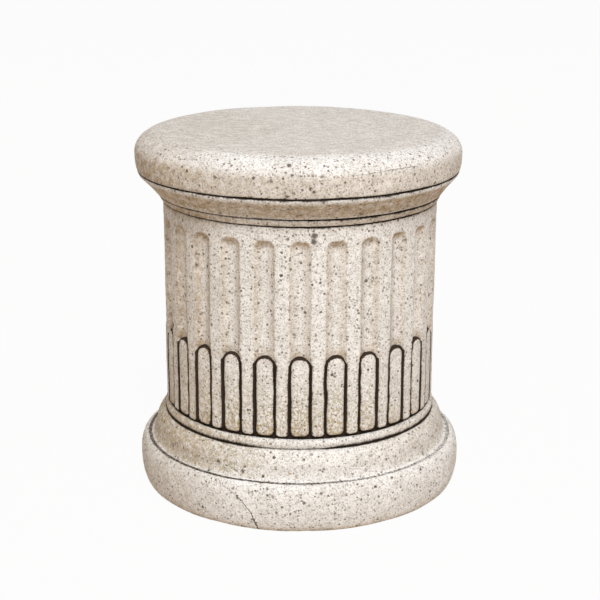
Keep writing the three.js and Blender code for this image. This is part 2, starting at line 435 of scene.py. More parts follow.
def beyond_outline(across, up, half, corner):
    """Distance outside an upright strip whose head has round corners, negative inside. across is the
    distance from the middle, and up the height over the head."""
    x = across - (half - corner)
    y = up + corner
    return np.hypot(np.maximum(x, 0), np.maximum(y, 0)) + np.minimum(np.maximum(x, y), 0) - corner


def carving(turn, height, s, w, levels):
    """How far the drum is cut back, and how near each point is to the grooves, at angles and heights.

    An open flute sinks from its rounded edge inwards as 1 - (1-x)^2 of the distance over its slope, and
    beside a cable as 3x^2 - 2x^3 of the distance over its steep wall. A cable sinks as a quarter ellipse
    towards its own outline, and falls away steeply outside it. The cut is the lesser of the two.
    """
    pitch = FULL_TURN / s.flute_count
    turned = (turn - s.carving_turn + pitch / 2) % pitch - pitch / 2
    place = np.stack([s.drum_radius * np.sin(turn), -s.drum_radius * np.cos(turn), height], axis=-1)
    along = turned * s.drum_radius + w.wobble * waves(place, w.wobble_wave, seed=11)
    up = height + w.wobble * waves(place, w.wobble_wave, seed=12)
    across = np.abs(along)

    flute_half = s.flute_width / 2
    beyond_flute = beyond_outline(across, up - levels.flute_top, flute_half, s.flute_corner)
    cable_half = flute_half - s.cable_gap
    beyond_head = beyond_outline(across, up - levels.cable_top, cable_half, s.cable_head)
    beyond_foot = beyond_outline(across, levels.drum_foot - up, cable_half, s.cable_foot)
    beyond_cable = np.maximum(beyond_head, beyond_foot)

    rib_half = s.drum_radius * pitch / 2 - flute_half
    from_rib = s.drum_radius * pitch / 2 - across
    beyond_rib = beyond_outline(from_rib, levels.drum_foot - up, rib_half, s.rib_foot)
    in_flute = np.where(up > levels.cable_top, -beyond_flute, np.maximum(-beyond_flute, beyond_rib))

    open_flute = rising(up, levels.cable_top - 12 * MM, levels.cable_top + 4 * MM)
    rounding = in_flute**2 / (4 * s.flute_edge)
    past_edge = np.where(in_flute < 2 * s.flute_edge, rounding, in_flute - s.flute_edge)
    way_in = np.clip(np.where(in_flute > 0, past_edge, 0) / s.flute_slope, 0, 1)
    scooped = 1 - (1 - way_in) ** 2
    upright = ease(in_flute / s.cabled_slope)
    flute_sunk = s.flute_depth * (upright + (scooped - upright) * open_flute)
    outside_slope = 4
    cable_sunk = rounded_edge(-beyond_cable, s.cable_edge, s.cable_fall)
    cable_sunk = cable_sunk + outside_slope * np.maximum(beyond_cable, 0)
    return {
        "sunk": np.minimum(flute_sunk, cable_sunk),
        "beyond_cable": beyond_cable,
        "beyond_rib": beyond_rib,
        "in_flute": in_flute,
        # Where painted shade lies on the walls of the open flutes
        "wall": rising(in_flute, 0, 1.5 * MM) * (1 - way_in) * open_flute,
        "up": up,
    }


def leaning(height, s, levels):
    """How far the rings of the hand-finished casting sit to the right of the axis, by height."""
    heights = (
        0,
        levels.torus_top,
        levels.shoulder,
        levels.drum_foot,
        levels.drum_foot + s.drum_height / 2,
        levels.drum_top,
        levels.lip_top,
        levels.cap_top,
    )
    shifts = np.array((-0.1, -1.1, -0.9, -0.9, -0.3, 0.1, -1.6, -1.9)) * MM
    return np.interp(height, heights, shifts)


def settling(place, s, levels):
    """How far the cap has settled on its right: nothing below the line under it or to the left of the
    start, and beyond them in proportion to the height over the line and the distance to the right."""
    upwards = np.clip((place[..., 2] - levels.lip_top) / s.cap_height, 0, 1)
    rightwards = np.maximum(place[..., 0] + s.settling_start, 0) / levels.cap_radius
    return s.cap_settling * upwards * rightwards


def surface(rows, turns, s, w, levels, carved):
    """Points and fields of a zone of the column: each row is carried round the axis, cut back by the carving
    where there is one, and moved along its normal by the unevenness of the casting. Then it leans to one side
    and settles. The flat underside stays flat."""
    shape = (len(rows), len(turns))
    turn = np.broadcast_to(turns[None, :], shape)
    radius = np.broadcast_to(rows[:, 0][:, None], shape)
    height = np.broadcast_to(rows[:, 1][:, None], shape)
    fields = carving(turn, height, s, w, levels) if carved else None
    if carved:
        radius = np.maximum(radius - fields["sunk"], np.minimum(radius, levels.floor_radius))

    grow_radius = np.gradient(rows[:, 0])[:, None]
    grow_height = np.gradient(rows[:, 1])[:, None]
    length = np.hypot(grow_radius, grow_height)
    out, lift = grow_height / length, -grow_radius / length

    place = np.stack([radius * np.sin(turn), -radius * np.cos(turn), height], axis=-1)
    lowest, highest = -2, 0.5
    uneven = w.broad_height * np.clip(waves(place, w.broad_wave, seed=3), lowest, highest)
    uneven = uneven + w.small_height * np.clip(waves(place, w.small_wave, seed=4), lowest, highest)
    underside = (height <= 0) & (radius < levels.torus_radius - s.heel_setback + MM)
    uneven = np.where(underside, 0, uneven)
    radius = radius + uneven * out
    height = np.maximum(height + uneven * lift, 0)
    points = np.stack([radius * np.sin(turn), -radius * np.cos(turn), height], axis=-1)
    points[..., 0] += leaning(points[..., 2], s, levels)
    points[..., 2] -= settling(points, s, levels)
    return points, fields


def grid_faces(first, rows, count):
    """Quads between neighbouring rows of a closed grid whose vertices start at first."""
    row = np.arange(rows - 1)[:, None] * count + first
    here = np.arange(count)[None, :]
    there = (here + 1) % count
    quads = np.stack([row + here, row + there, row + count + there, row + count + here], axis=-1)
    return quads.reshape(-1, 4)


def seam_faces(coarse, fine, fine_above):
    """Triangles between a ring of vertices and a ring with three times as many."""
    n = len(coarse)
    a, b = coarse, np.roll(coarse, -1)
    f = fine.reshape(n, 3)
    last = np.roll(f[:, 0], -1)
    triangles = np.concatenate(
        [
            np.stack([a, f[:, 1], f[:, 0]], axis=1),
            np.stack([a, b, f[:, 1]], axis=1),
            np.stack([b, f[:, 2], f[:, 1]], axis=1),
            np.stack([b, last, f[:, 2]], axis=1),
        ]
    )
    return triangles if fine_above else triangles[:, ::-1]


def middle_faces(centre, ring, above):
    """Triangles from a ring to the vertex at its centre."""
    triangles = np.stack([ring, np.roll(ring, -1), np.full(len(ring), centre)], axis=1)
    return triangles if above else triangles[:, ::-1]


def mesh_piece(name, points, quads, triangles, fields):
    """A mesh object from points, quads, triangles and named fields with one number for each point."""
    mesh = bpy.data.meshes.new(name)
    loops = np.concatenate([quads.ravel(), triangles.ravel()]).astype(np.int32)
    sizes = np.concatenate([np.full(len(quads), 4), np.full(len(triangles), 3)])
    mesh.vertices.add(len(points))
    mesh.vertices.foreach_set("co", points.astype(np.float32).ravel())
    mesh.loops.add(len(loops))
    mesh.loops.foreach_set("vertex_index", loops)
    mesh.polygons.add(len(sizes))
    mesh.polygons.foreach_set("loop_start", (np.cumsum(sizes) - sizes).astype(np.int32))
    mesh.update(calc_edges=True)
    mesh.shade_smooth()
    for field, values in fields.items():
        mesh.attributes.new(field, "FLOAT", "POINT").data.foreach_set("value", values.astype(np.float32))
    mesh.validate()
    piece = bpy.data.objects.new(name, mesh)
    bpy.context.scene.collection.objects.link(piece)
    return piece


# Deposits: how strongly each scored line is filled, at angles round the axis in degrees, front at 0
STATIONS = (-140, -60, -22, -12, 8, 16, 60, 140)
LINE_STRENGTHS = {
    "torus": (0.58, 0.58, 0.66, 0.62, 0.58, 0.54, 0.42, 0.45),
    "shoulder": (0.9, 1.0, 0.8, 0.45, 0.45, 0.9, 1.0, 0.8),
    "groove": (1.0, 1.0, 1.0, 1.0, 1.0, 1.0, 1.0, 1.0),
    "drum": (0.5, 0.5, 0.5, 0.6, 0.9, 0.8, 0.7, 0.6),
    "fillet": (0.5, 0.5, 0.45, 0.5, 0.85, 0.9, 0.85, 0.7),
    "cap": (0.6, 0.65, 0.85, 0.9, 0.9, 0.9, 0.8, 0.7),
}

# How wide each deposit is, as a share of the reach that is set
LINE_WIDTHS = {
    "torus": 1.1,
    "shoulder": 1.25,
    "groove": 1,
    "drum": 1.15,
    "fillet": 1.15,
    "cap": 1.15,
}

# How strong the brown staining and the painted shade are in each place: painted shade in the cove, the neck,
# the cavetto, under the lip, on the cap's side, over the left side, on the flute walls and heads, and beside
# and over the cables; darker towards the ground; staining at the cable feet and on the top
STAIN_AND_SHADE = {
    "ground": 0.8,
    "cove": 0.4,
    "cable feet": 0.4,
    "beside cables": 0.4,
    "over cables": 0.45,
    "flute walls": 0.5,
    "flute heads": 0.7,
    "neck": 0.35,
    "cavetto": 0.85,
    "under lip": 0.1,
    "cap side": 0.44,
    "top": 0.1,
    "left side": 0.38,
}


def line_bottoms(s, levels):
    """Radius and height of the bottom of each scored line."""
    drum = s.drum_radius
    return {
        "torus": (drum + (s.torus_lip + s.cove_projection) / 2, levels.torus_top - s.torus_line_depth),
        "shoulder": (drum + s.ring_projection - RING_UNDERCUT - s.line_depth, levels.shoulder_top),
        "groove": (levels.floor_radius, levels.ring_top + s.drum_groove / 2),
        "drum": (drum - s.line_depth, levels.drum_top),
        "fillet": (drum + s.fillet_projection - s.line_depth, levels.fillet_top),
        "cap": (drum + s.lip_projection - s.line_depth, levels.lip_top),
    }


def line_patina(radius, height, degrees, uneven, s, w, levels):
    """Patina in the scored lines: full up to 0.65 of its reach from the bottom of a line, and gone at 1.3."""
    patina = np.zeros(radius.shape)
    for line, (line_radius, line_height) in line_bottoms(s, levels).items():
        strength = np.interp(degrees, STATIONS, LINE_STRENGTHS[line], period=360)
        reach = w.deposit * (0.75 + 0.25 * strength + 0.05 * uneven) * LINE_WIDTHS[line]
        away = np.hypot(radius - line_radius, height - line_height)
        patina = np.maximum(patina, strength * rising(away, 1.3 * reach, 0.65 * reach))
    return patina


def moulding_stain_and_shade(height, side, calm, in_cove, levels):
    """Brown staining and painted shade on the mouldings, by height and side: painted shade in the cove and
    the neck, more towards the sides, in the cavetto, under the lip, on the side of the cap, more on its left,
    and over the whole left side; darker towards the ground; staining on the smoothed top. side is the sine of
    the angle
    round the axis: -1 on the left, 0 in front and behind, and 1 on the right."""
    cavetto_foot = rising(height, levels.fillet_top, levels.fillet_top + 3 * MM)
    in_cavetto = cavetto_foot * rising(height, levels.cavetto_top, levels.cavetto_top - MM)
    under_lip = in_cavetto * rising(height, levels.cavetto_top - 9 * MM, levels.cavetto_top)
    over_line = rising(height, levels.lip_top, levels.lip_top + 2 * MM)
    cap_side = over_line * rising(height, levels.cap_top - 12 * MM, levels.cap_top - 22 * MM)
    over_flutes = rising(height, levels.drum_top - 8 * MM, levels.drum_top + 4 * MM)
    in_neck = over_flutes * rising(height, levels.fillet_top, levels.fillet_top - MM)
    # Painted shade: the whole left side, turned away from the key light, is darker
    left_side = rising(-side, 0.35, 0.85) * (1 - 0.7 * calm)
    return (
        # Painted shade in the cove and the neck towards the sides, in the cavetto, under the lip, on the side
        # of the cap and over the left side; darker towards the ground; staining on the top
        STAIN_AND_SHADE["ground"] * rising(height, 8 * MM, 0)
        + STAIN_AND_SHADE["cove"] * np.abs(side) * in_cove
        + (STAIN_AND_SHADE["neck"] + 0.5 * np.abs(side)) * in_neck
        + (STAIN_AND_SHADE["cavetto"] + 0.1 * side) * in_cavetto
        + STAIN_AND_SHADE["under lip"] * under_lip
        + (STAIN_AND_SHADE["cap side"] - 0.1 * side) * cap_side
        + STAIN_AND_SHADE["top"] * calm
        + STAIN_AND_SHADE["left side"] * left_side
    )


def carving_deposits_and_shade(fields, degrees, uneven, s, w, levels):
    """Patina, growth, brown staining at the cable feet and painted shade in and round the flutes and cables:
    painted shade on the flute walls, under the heads of the flutes, beside the cables and over their heads.
    Patina fills the groove between each cable and its ribs and reaches a little over the cable's head,
    further where the groove is deep."""
    up, in_flute, beyond_cable = fields["up"], fields["in_flute"], fields["beyond_cable"]
    over_foot = up - levels.drum_foot
    beyond_rib = np.where(up < levels.cable_top, fields["beyond_rib"], MM)
    narrow = np.minimum(beyond_cable, beyond_rib)
    groove = rising(narrow + 0.15 * MM * uneven, -w.groove_deposit, 1.5 * MM - w.groove_deposit)
    deep = rising(up, levels.cable_top - 5 * MM, levels.cable_top - 13 * MM)
    near = w.head_deposit + 5 * MM * deep + 0.25 * MM * uneven
    patina = groove * rising(beyond_cable, near, near - 1.8 * MM)

    # Painted shade under the heads of the flutes, over the heads of the cables and beside them; staining at
    # the cable feet
    flute_heads = rising(up, levels.flute_top - 15 * MM, levels.flute_top) * rising(in_flute, 0, 3 * MM)
    over_cables = rising(beyond_cable, 16 * MM, 0) * rising(beyond_cable, 0, MM) * rising(in_flute, 0, 4 * MM)
    cable_feet = rising(over_foot, 26 * MM, 0) * rising(beyond_cable, 0.5 * MM, -0.5 * MM)
    beside = rising(np.abs(narrow + MM), 3 * MM, 0) * rising(up, levels.cable_top + 4 * MM, levels.cable_top)
    stain_and_shade = (
        STAIN_AND_SHADE["flute walls"] * fields["wall"]
        + STAIN_AND_SHADE["flute heads"] * flute_heads
        + STAIN_AND_SHADE["over cables"] * over_cables
        + STAIN_AND_SHADE["cable feet"] * cable_feet
        + STAIN_AND_SHADE["beside cables"] * beside
    )

    low = rising(over_foot, s.cable_height + 10 * MM, 0)
    facing = 0.35 + 0.65 * rising(np.cos(np.radians(degrees + 8)), 0.6, 0.95)
    growth = low * facing * np.where(beyond_cable < 0, 1, 0.6)
    return patina, stain_and_shade, growth


def deposits_and_shade(rows, turns, points, fields, s, w, levels):
    """Named fields of a zone, from 0 to 1: patina in the lines and grooves, brown staining with painted shade
    in the hollows and on the left, growth low on the drum, more of it in front, and in the left of the cove,
    and calm where the face was smoothed."""
    shape = points.shape[:2]
    radius = np.broadcast_to(rows[:, 0][:, None], shape)
    height = np.broadcast_to(rows[:, 1][:, None], shape)
    degrees = np.degrees(np.broadcast_to(turns[None, :], shape))
    side = np.sin(np.radians(degrees))
    uneven = waves(points, w.deposit_wave, seed=21)
    calm = rising(height, levels.cap_top - 2 * MM, levels.cap_top - 0.5 * MM)
    over_torus = rising(height, levels.torus_top, levels.torus_top + 3 * MM)
    in_cove = over_torus * rising(height, levels.drum_foot, levels.drum_foot - 3 * MM)

    patina = line_patina(radius, height, degrees, uneven, s, w, levels)
    stain_and_shade = moulding_stain_and_shade(height, side, calm, in_cove, levels)
    growth = 0.6 * in_cove * rising(-side, 0, 0.5)
    if fields:
        groove_patina, carving_stain_and_shade, low_growth = carving_deposits_and_shade(fields, degrees, uneven, s, w, levels)
        patina = np.maximum(patina, groove_patina)
        stain_and_shade = stain_and_shade + carving_stain_and_shade
        growth = growth + low_growth
    return {"patina": patina, "stain_and_shade": np.clip(stain_and_shade, 0, 1), "growth": growth, "calm": calm}


# Materials


def add_node(tree, kind, inputs=None, **settings):
    """Adds a shader node of a kind such as Math or TexNoise. settings are its own properties, and inputs
    gives a value or a socket for its inputs."""
    node = tree.nodes.new("ShaderNode" + kind)
    for name, value in settings.items():
        setattr(node, name, value)
    for socket, value in (inputs or {}).items():
        if isinstance(value, bpy.types.NodeSocket):
            tree.links.new(value, node.inputs[socket])
        else:
            node.inputs[socket].default_value = value
    return node


def own_properties(group):
    """Names of the properties that a group adds."""
    return [name for name in group.bl_rna.properties.keys() if name not in ("rna_type", "name")]


def empty_material(name):
    """A material with nothing in its node tree."""
    material = bpy.data.materials.new(name)
    material.use_nodes = True
    material.node_tree.nodes.clear()
    return material


# Single pits and chips on the front: place from the middle of the underside, and radius, in millimetres
PITS = (
    (-11, -175, 401, 2.4),
    (-8, -182, 392, 1.8),
    (-47, -177, 388, 1.7),
    (11, -183, 378, 1.9),
    (14, -182, 374, 1.6),
    (113, -143, 392, 1.7),
    (-13, -182, 370, 2.1),
    (15, -154, 322, 3.3),
    (14.5, -154, 316, 3.3),
    (-102, -116, 299, 2.1),
    (-111, -107, 279, 2.1),
    (-10, -152, 286, 1.6),
    (-12, -152, 280, 1.4),
    (35, -149, 286, 2.0),
    (41, -149, 271, 2.0),
    (-142, -60, 197, 3.2),
    (144, -56, 193, 3.2),
    (-62, -157, 62, 2.3),
    (26, -166, 67, 2.0),
    (-35, -180, 51, 2.0),
    (-16, -183, 49, 1.5),
    (-5, -186, 26, 1.4),
    (139, -97, 59, 2.8),
    (76, -147, 76, 1.9),
    (49, -179, 44, 1.5),
    (100, -151, 52, 1.8),
    (-100, -140, 56, 1.7),
)

# Spots of thin growth, in the same way
GROWTHS = (
    (-11, -168, 64, 3.6),
    (-3, -169, 60, 2.3),
    (-28, -178, 365, 3.2),
    (-126, -90, 192, 3.4),
    (67, -139, 132, 3.2),
    (-108, -30, 409, 2.3),
    (99, 9, 409, 2.3),
    (-40, -159, 79, 4.3),
)

# Cracks on the front: the axis that each runs along, its half width in millimetres at its first place and at
# its last, how dark it is, and its course: places along that axis with how far it is to the right or up there
CRACKS = (
    ("Z", 1, 0.35, 0.9, (1, -44.5), (7, -46.8), (15, -50), (21, -52), (30, -58.9), (38, -65.9), (46, -77.9),
     (50, -86.8)),
    ("X", 0.2, 0.6, 0.5, (50, 389.6), (70, 390.2), (90, 391.4), (105, 391.9), (122, 390.3)),
    ("Z", 0.45, 0.35, 0.45, (231, -11.5), (243, -10.9), (254, -12)),
)

# Tones of the face: name of the colour, size of the pattern in millimetres along X, Y and Z, its detail,
# where in the pattern it starts and where it is full, and how strong it then is on the cast faces and on the
# top. The last pattern also gives the face its relief.
TONES = (
    ("shade", (45, 45, 45), 3, 0.36, 0.64, 0.4, 0.2),
    ("shade", (9, 9, 9), 4, 0.42, 0.62, 0.45, 0.25),
    ("shade", (14, 3, 3), 4, 0.42, 0.58, 0, 0.9),
    ("grain", (1.9, 1.9, 1.9), 2, 0.47, 0.64, 0.55, 0.6),
    ("stone", (2.6, 2.6, 2.6), 2, 0.53, 0.67, 0.75, 0.5),
)

# Dots in the face: name of the colour, size of a cell in millimetres, share of cells filled, least and
# largest radius in millimetres, and how strong they are on the cast faces and on the smoothed top
DOTS = (
    ("grain", 2.4, 0.75, 0.5, 1.1, 0.95, 0.6),
    ("speck", 4.0, 0.65, 0.7, 1.65, 1.0, 0.3),
    ("pit", 10, 0.5, 0.9, 2.3, 0.95, 0.08),
)

# Width of the soft edge of a dot in millimetres, how strong the faintest dots are, and how high the grain
# stands out as a share of the depth of a hole
DOT_EDGE = 0.45
FAINTEST_DOT = 0.4
GRAIN_RELIEF = 0.4


def near_spots(tree, place, spots, strength):
    """How near each point is to the spots: the strength inside the nearest one, falling to 0 outside it."""
    nearest = None
    for x, y, z, radius in spots:
        inputs = {0: place, 1: (x * MM, y * MM, z * MM)}
        away = add_node(tree, "VectorMath", inputs, operation="DISTANCE").outputs["Value"]
        away = add_node(tree, "Math", {0: away, 1: radius * MM}, operation="DIVIDE").outputs[0]
        if nearest:
            away = add_node(tree, "Math", {0: nearest, 1: away}, operation="MINIMUM").outputs[0]
        nearest = away
    inputs = {"Value": nearest, "From Min": 1.5, "From Max": 0.5, "To Max": strength}
    return add_node(tree, "MapRange", inputs, interpolation_type="SMOOTHSTEP").outputs["Result"]


def in_crack(tree, place, axis, first_width, last_width, darkness, *course):
    """The darkness of a crack inside it and 0 outside. How far it is to the right or up is a curve of the
    place along its axis, and its width changes evenly along it. It ends with its course, and is only on the
    front."""
    first, last = course[0][0] * MM, course[-1][0] * MM
    least = min(aside for along, aside in course) * MM
    reach = max(aside for along, aside in course) * MM - least
    apart = add_node(tree, "SeparateXYZ", {"Vector": place}).outputs
    inputs = {"Value": apart[axis], "From Min": first, "From Max": last}
    share = add_node(tree, "MapRange", inputs).outputs["Result"]
    curve = add_node(tree, "FloatCurve", {"Value": share})
    points = curve.mapping.curves[0].points
    points[0].location = (0, (course[0][1] * MM - least) / reach)
    points[1].location = (1, (course[-1][1] * MM - least) / reach)
    for along, aside in course[1:-1]:
        points.new((along * MM - first) / (last - first), (aside * MM - least) / reach)
    curve.mapping.update()
    inputs = {0: curve.outputs[0], 1: reach, 2: least}
    middle = add_node(tree, "Math", inputs, operation="MULTIPLY_ADD").outputs[0]
    aside = apart["X" if axis == "Z" else "Z"]
    away = add_node(tree, "Math", {0: aside, 1: middle}, operation="SUBTRACT").outputs[0]
    away = add_node(tree, "Math", {0: away}, operation="ABSOLUTE").outputs[0]
    inputs = {"Value": share, "To Min": first_width * MM, "To Max": last_width * MM}
    width = add_node(tree, "MapRange", inputs).outputs["Result"]
    inside = add_node(tree, "Math", {0: away, 1: width}, operation="DIVIDE").outputs[0]
    inputs = {"Value": inside, "From Min": 1.3, "From Max": 0.5, "To Max": darkness}
    inside = add_node(tree, "MapRange", inputs, interpolation_type="SMOOTHSTEP").outputs["Result"]
    ends = ((axis, first - MM, first), (axis, last + MM, last), ("Y", 0.0, -10 * MM))
    for coordinate, nothing, full in ends:
        inputs = {"Value": apart[coordinate], "From Min": nothing, "From Max": full}
        there = add_node(tree, "MapRange", inputs).outputs["Result"]
        inside = add_node(tree, "Math", {0: inside, 1: there}, operation="MULTIPLY").outputs[0]
    return inside


def toned_stone(tree, place, calm, tint):
    """The face of the stone in patches of its tones, and the pattern of the last one."""
    stone = tint["stone"]
    for name, sizes, detail, start, full, cast, smoothed in TONES:
        inputs = {0: place, 1: tuple(1 / (millimetres * MM) for millimetres in sizes)}
        scaled = add_node(tree, "VectorMath", inputs, operation="MULTIPLY").outputs[0]
        inputs = {"Vector": scaled, "Scale": 1.0, "Detail": detail, "Roughness": 0.6}
        pattern = add_node(tree, "TexNoise", inputs).outputs["Fac"]
        inputs = {"Value": calm, "To Min": cast, "To Max": smoothed}
        strength = add_node(tree, "MapRange", inputs).outputs["Result"]
        inputs = {"Value": pattern, "From Min": start, "From Max": full, "To Max": strength}
        share = add_node(tree, "MapRange", inputs, interpolation_type="SMOOTHSTEP").outputs["Result"]
        inputs = {"Factor": share, 6: stone, 7: tint[name]}
        stone = add_node(tree, "Mix", inputs, data_type="RGBA").outputs[2]
    return stone, pattern


def patches(tree, place, millimetres, detail, start, full, low, high, interpolation="LINEAR"):
    """Irregular patches of a size: low up to the start of a noise pattern, and high where it is full."""
    inputs = {"Vector": place, "Scale": 1 / (millimetres * MM), "Detail": detail, "Roughness": 0.6}
    pattern = add_node(tree, "TexNoise", inputs).outputs["Fac"]
    inputs = {"Value": pattern, "From Min": start, "From Max": full, "To Min": low, "To Max": high}
    return add_node(tree, "MapRange", inputs, interpolation_type=interpolation).outputs["Result"]


def stained_and_shaded_stone(tree, stone, place, stain_and_shade, tint):
    """Brown staining and painted shade laid thinly over the stone, in blotches of about 7 mm."""
    blotches = patches(tree, place, 7, 4, 0.35, 0.62, 0.35, 1)
    stained = add_node(tree, "Math", {0: stain_and_shade, 1: blotches}, operation="MULTIPLY").outputs[0]
    inputs = {"Factor": stained, 6: stone, 7: tint["stain_and_shade"]}
    return add_node(tree, "Mix", inputs, data_type="RGBA", blend_type="MULTIPLY").outputs[2]


def grown_stone(tree, stone, ragged, growth, tint):
    """Thin growth in tufts of about 3 mm, low on the drum and in the single spots."""
    tufts = patches(tree, ragged, 3.2, 3, 0.44, 0.6, 0, 0.8, "SMOOTHSTEP")
    inputs = {0: growth, 1: near_spots(tree, ragged, GROWTHS, 1.0)}
    grown = add_node(tree, "Math", inputs, operation="MAXIMUM").outputs[0]
    grown = add_node(tree, "Math", {0: grown, 1: tufts}, operation="MULTIPLY").outputs[0]
    inputs = {"Factor": grown, 6: stone, 7: tint["growth"]}
    return add_node(tree, "Mix", inputs, data_type="RGBA").outputs[2]


def dotted_stone(tree, stone, ragged, calm, tint):
    """Grains, specks and pits in the stone, one at most in each cell of a Voronoi pattern, and how deep the
    face lies in them."""
    holes = 0.0
    for name, millimetres, filled, least, largest, cast, smoothed in DOTS:
        cell = add_node(tree, "TexVoronoi", {"Vector": ragged, "Scale": 1 / (millimetres * MM)})
        chance = add_node(tree, "SeparateColor", {"Color": cell.outputs["Color"]}).outputs
        inputs = {"Value": chance["Green"], "To Min": least / millimetres, "To Max": largest / millimetres}
        radius = add_node(tree, "MapRange", inputs).outputs["Result"]
        inputs = {0: radius, 1: cell.outputs["Distance"]}
        inside = add_node(tree, "Math", inputs, operation="SUBTRACT").outputs[0]
        inputs = {"Value": inside, "From Max": DOT_EDGE / millimetres}
        dot = add_node(tree, "MapRange", inputs, interpolation_type="SMOOTHSTEP").outputs["Result"]
        inputs = {0: chance["Red"], 1: filled}
        chosen = add_node(tree, "Math", inputs, operation="LESS_THAN").outputs[0]
        inputs = {"Value": calm, "To Min": cast, "To Max": smoothed}
        strength = add_node(tree, "MapRange", inputs).outputs["Result"]
        inputs = {"Value": chance["Blue"], "To Min": FAINTEST_DOT, "To Max": 1.0}
        fading = add_node(tree, "MapRange", inputs).outputs["Result"]
        for factor in (chosen, strength, fading):
            dot = add_node(tree, "Math", {0: dot, 1: factor}, operation="MULTIPLY").outputs[0]
        inputs = {"Factor": dot, 6: stone, 7: tint[name]}
        stone = add_node(tree, "Mix", inputs, data_type="RGBA").outputs[2]
        holes = add_node(tree, "Math", {0: holes, 1: dot}, operation="MAXIMUM").outputs[0]
    return stone, holes


def flawed_stone(tree, stone, holes, ragged, tint):
    """The single pits and the cracks, in the stone and in how deep the face lies."""
    flaws = [("pit", near_spots(tree, ragged, PITS, 0.9))]
    flaws += [("patina", in_crack(tree, ragged, *crack)) for crack in CRACKS]
    for name, flaw in flaws:
        inputs = {"Factor": flaw, 6: stone, 7: tint[name]}
        stone = add_node(tree, "Mix", inputs, data_type="RGBA").outputs[2]
        holes = add_node(tree, "Math", {0: holes, 1: flaw}, operation="MAXIMUM").outputs[0]
    return stone, holes


def patinated_stone(tree, stone, place, patina, tint):
    """The dark deposit in the lines and grooves, with a crumbly edge of about 2 mm."""
    crumbs = patches(tree, place, 2.4, 3, 0.3, 0.7, -0.16, 0.16)
    deposit = add_node(tree, "Math", {0: patina, 1: crumbs}, operation="ADD").outputs[0]
    inputs = {"Value": deposit, "From Min": 0.15, "From Max": 0.75}
    deposit = add_node(tree, "MapRange", inputs, interpolation_type="SMOOTHSTEP").outputs["Result"]
    inputs = {"Factor": deposit, 6: stone, 7: tint["patina"]}
    return add_node(tree, "Mix", inputs, data_type="RGBA").outputs[2]


def cast_stone_material(c):
    """Cast stone: sand and stone dust in white cement, tamped in a mould and weathered. To the eye it is a
    warm white matt face with a grain of about 2 mm, brown sand grains, dark air holes of 1 to 4 mm, broad
    clouds, brown staining with painted shade in the hollows, on the left and under the lip, and a near-black
    deposit in the lines."""
    material = empty_material("weathered cast stone")
    tree = material.node_tree
    place = add_node(tree, "TexCoord").outputs["Object"]
    field = {
        name: add_node(tree, "Attribute", attribute_name=name).outputs["Fac"]
        for name in ("patina", "stain_and_shade", "growth", "calm")
    }
    tint = {name: (*getattr(c, name), 1.0) for name in own_properties(c)}

    # Places shifted by about half a millimetre, which makes the outlines of dots, pits and cracks ragged
    inputs = {"Vector": place, "Scale": 1 / (1.7 * MM), "Detail": 1.0}
    shift = add_node(tree, "TexNoise", inputs).outputs["Color"]
    inputs = {0: shift, 1: (0.5, 0.5, 0.5)}
    shift = add_node(tree, "VectorMath", inputs, operation="SUBTRACT").outputs[0]
    inputs = {0: shift, 1: (2.6 * MM, 2.6 * MM, 2.6 * MM), 2: place}
    ragged = add_node(tree, "VectorMath", inputs, operation="MULTIPLY_ADD").outputs[0]

    stone, grain = toned_stone(tree, place, field["calm"], tint)
    # Brown staining and painted shade, multiplied into the stone
    stone = stained_and_shaded_stone(tree, stone, place, field["stain_and_shade"], tint)
    stone = grown_stone(tree, stone, ragged, field["growth"], tint)
    stone, holes = dotted_stone(tree, stone, ragged, field["calm"], tint)
    stone, holes = flawed_stone(tree, stone, holes, ragged, tint)
    stone = patinated_stone(tree, stone, place, field["patina"], tint)

    raised = add_node(tree, "Math", {0: grain, 1: GRAIN_RELIEF}, operation="MULTIPLY").outputs[0]
    relief = add_node(tree, "Math", {0: raised, 1: holes}, operation="SUBTRACT").outputs[0]
    inputs = {"Height": relief, "Distance": 0.8 * MM, "Strength": 0.6}
    bump = add_node(tree, "Bump", inputs).outputs["Normal"]
    inputs = {"Base Color": stone, "Roughness": 0.92, "IOR": 1.5, "Specular IOR Level": 0.25, "Normal": bump}
    shader = add_node(tree, "BsdfPrincipled", inputs)
    add_node(tree, "OutputMaterial", {"Surface": shader.outputs[0]})
    return material


def studio_paper_material(settings):
    """Matt white studio paper, lit evenly from behind, so that it stays plain and pale all over."""
    material = empty_material("white studio paper")
    tree = material.node_tree
    inputs = {
        "Base Color": (0.03, 0.03, 0.03, 1.0),
        "Roughness": 1.0,
        "Specular IOR Level": 0.0,
        "Emission Color": (*settings.floor, 1.0),
        "Emission Strength": 0.995,
    }
    shader = add_node(tree, "BsdfPrincipled", inputs)
    add_node(tree, "OutputMaterial", {"Surface": shader.outputs[0]})
    return material


